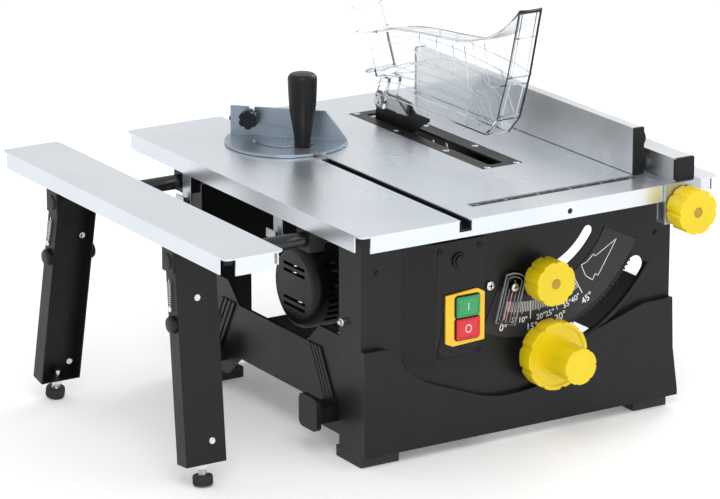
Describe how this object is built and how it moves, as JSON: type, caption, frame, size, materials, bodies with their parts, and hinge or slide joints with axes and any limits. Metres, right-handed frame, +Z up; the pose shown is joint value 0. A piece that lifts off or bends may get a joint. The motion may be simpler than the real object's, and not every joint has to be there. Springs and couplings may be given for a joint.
{
  "type": "table saw",
  "caption": "Benchtop table saw with tilting and rising blade unit, clear blade guard, rip fence, miter gauge, open stand and sliding table extension with folding legs.",
  "frame": {"origin": "centre of the bounding box's footprint, on the ground under the feet", "axes": "+X to the operator's right, +Y away from the operator along the feed direction, +Z up"},
  "size_m": [0.597, 0.52, 0.45],
  "materials": {
    "zinc": "bright zinc-plated steel sheet",
    "black_metal": "satin black paint on steel",
    "skirt": "moulded dark grey plastic",
    "dark": "satin dark grey powder coat",
    "black": "black plastic",
    "rubber": "black rubber",
    "chrome": "bright plated screws",
    "plate": "yellow moulded plastic",
    "steel": "machined steel",
    "printed": "black printed scale plate",
    "green": "green moulded plastic",
    "red": "red moulded plastic",
    "clear": "clear acrylic",
    "yellow": "yellow moulded plastic",
    "cast": "die-cast aluminium",
    "blade": "ground tool steel",
    "guard": "clear polycarbonate",
    "alu": "satin anodised extrusion",
    "gauge": "blue-grey zinc plate",
    "tube": "gloss black enamel"
  },
  "bodies": {
    "base": {"table_top": "zinc", "slot_channel": "black_metal", "blade_insert": "black_metal", "under_fittings": "black_metal", "front_panel": "skirt", "rear_panel": "dark", "left_stretcher": "black", "right_stretcher": "black", "base_feet": "rubber", "screws": "chrome", "cord_gland": "black", "switch_box": "black", "switch_plate": "plate", "switch_core": "black", "tilt_rack": "steel", "tilt_scale": "printed"},
    "start": {"start_button": "green"},
    "stop": {"stop_button": "red"},
    "reset": {"reset_button": "black"},
    "cradle": {"tilt_cradle": "steel", "guide_rods": "steel", "tilt_pointer": "clear", "pointer_arm": "black"},
    "lock": {"lock_knob": "yellow"},
    "crank": {"handwheel": "yellow", "crank_shaft": "steel"},
    "screw": {"lift_screw": "steel"},
    "saw_unit": {"gear_case": "cast", "case_cover": "cast", "bearings": "steel", "motor_housing": "black", "motor_cap": "black", "lower_shroud": "dark", "riving_knife": "black_metal", "guard_bracket": "steel"},
    "arbor": {"arbor_shaft": "steel", "arbor_gear": "steel", "blade_flanges": "steel", "saw_blade": "blade"},
    "rotor": {"armature": "steel", "cooling_fan": "black"},
    "guard": {"guard_shell": "guard", "guard_hanger": "steel"},
    "fence": {"fence_face": "alu", "fence_caps": "black", "fence_bar": "alu", "wing_nuts": "black", "fence_clamp": "zinc"},
    "fence_lock": {"fence_knob": "yellow"},
    "miter_bar": {"miter_bar": "steel"},
    "miter_head": {"miter_head": "gauge"},
    "miter_grip": {"miter_handle": "black"},
    "miter_star": {"star_knob": "black"},
    "extension": {"extension_top": "zinc", "extension_tubes": "tube", "leg_brackets": "steel"},
    "front_leg": {"front_leg": "dark"},
    "rear_leg": {"rear_leg": "dark"},
    "front_foot": {"front_foot": "rubber"},
    "rear_foot": {"rear_foot": "rubber"}
  },
  "joints": [
    {"name": "tilt", "type": "hinge", "parent": "base", "child": "cradle", "pos_m": [0.1015, -0.168, 0.26], "axis": [0, -1, 0], "range_deg": [0, 45]},
    {"name": "height", "type": "slide", "parent": "cradle", "child": "saw_unit", "axis": [0, 0, 1], "range_m": [0, 0.045]},
    {"name": "crank_turn", "type": "hinge", "parent": "cradle", "child": "crank", "pos_m": [0.11614, -0.182, 0.09264], "axis": [0, -1, 0], "range_deg": [-1625, 0.5]},
    {"name": "lift_screw_turn", "type": "hinge", "parent": "cradle", "child": "screw", "pos_m": [0.11614, -0.112, 0.15], "axis": [0, 0, 1], "range_deg": [-0.5, 1625]},
    {"name": "blade_spin", "type": "hinge", "parent": "saw_unit", "child": "arbor", "pos_m": [0.1255, 0.038, 0.164], "axis": [1, 0, 0], "continuous": true},
    {"name": "motor_spin", "type": "hinge", "parent": "saw_unit", "child": "rotor", "pos_m": [-0.0165, 0.004, 0.148], "axis": [1, 0, 0], "continuous": true},
    {"name": "guard_lift", "type": "hinge", "parent": "saw_unit", "child": "guard", "pos_m": [0.1255, 0.156, 0.291], "axis": [-1, 0, 0], "range_deg": [0, 60]},
    {"name": "tilt_lock_turn", "type": "hinge", "parent": "cradle", "child": "lock", "pos_m": [0.10899, -0.19, 0.17433], "axis": [0, -1, 0], "range_deg": [-360, 360]},
    {"name": "start_press", "type": "slide", "parent": "base", "child": "start", "axis": [0, 1, 0], "range_m": [0, 0.0025], "stiffness_N_per_m": 800, "springref_m": -0.0012},
    {"name": "stop_press", "type": "slide", "parent": "base", "child": "stop", "axis": [0, 1, 0], "range_m": [0, 0.0025], "stiffness_N_per_m": 800, "springref_m": -0.0012},
    {"name": "reset_press", "type": "slide", "parent": "base", "child": "reset", "axis": [0, 1, 0], "range_m": [0, 0.002], "stiffness_N_per_m": 800, "springref_m": -0.0012},
    {"name": "fence_slide", "type": "slide", "parent": "base", "child": "fence", "axis": [1, 0, 0], "range_m": [-0.075, 0.03]},
    {"name": "fence_lock_turn", "type": "hinge", "parent": "fence", "child": "fence_lock", "pos_m": [0.2495, -0.24, 0.244], "axis": [0, -1, 0], "range_deg": [-360, 360]},
    {"name": "miter_slide", "type": "slide", "parent": "base", "child": "miter_bar", "axis": [0, 1, 0], "range_m": [-0.25, 0.06]},
    {"name": "miter_turn", "type": "hinge", "parent": "miter_bar", "child": "miter_head", "pos_m": [-0.0211, 0.126, 0.272], "axis": [0, 0, 1], "range_deg": [-15, 95]},
    {"name": "miter_grip_turn", "type": "hinge", "parent": "miter_bar", "child": "miter_grip", "pos_m": [-0.0211, 0.091, 0.31], "axis": [0, 0, 1], "range_deg": [-360, 360]},
    {"name": "miter_star_turn", "type": "hinge", "parent": "miter_head", "child": "miter_star", "pos_m": [-0.05009, 0.15499, 0.294], "axis": [0.7071, 0.7071, 0], "range_deg": [-180, 180]},
    {"name": "extension_slide", "type": "slide", "parent": "base", "child": "extension", "axis": [1, 0, 0], "range_m": [-0.01, 0.0825]},
    {"name": "front_leg_fold", "type": "hinge", "parent": "extension", "child": "front_leg", "pos_m": [-0.2705, -0.104, 0.238], "axis": [1, 0, 0], "range_deg": [0, 95]},
    {"name": "rear_leg_fold", "type": "hinge", "parent": "extension", "child": "rear_leg", "pos_m": [-0.2705, 0.148, 0.238], "axis": [-1, 0, 0], "range_deg": [0, 60]},
    {"name": "front_foot_screw", "type": "slide", "parent": "front_leg", "child": "front_foot", "axis": [0, -0.0872, -0.9962], "range_m": [0, 0.01]},
    {"name": "rear_foot_screw", "type": "slide", "parent": "rear_leg", "child": "rear_foot", "axis": [0, 0.225, -0.9744], "range_m": [0, 0.01]}
  ],
  "couplings": [
    {"joint": "crank_turn", "follows": "height", "rad_per_m": -628.32},
    {"joint": "lift_screw_turn", "follows": "height", "rad_per_m": 628.32},
    {"joint": "motor_spin", "follows": "blade_spin", "ratio": -4}
  ]
}
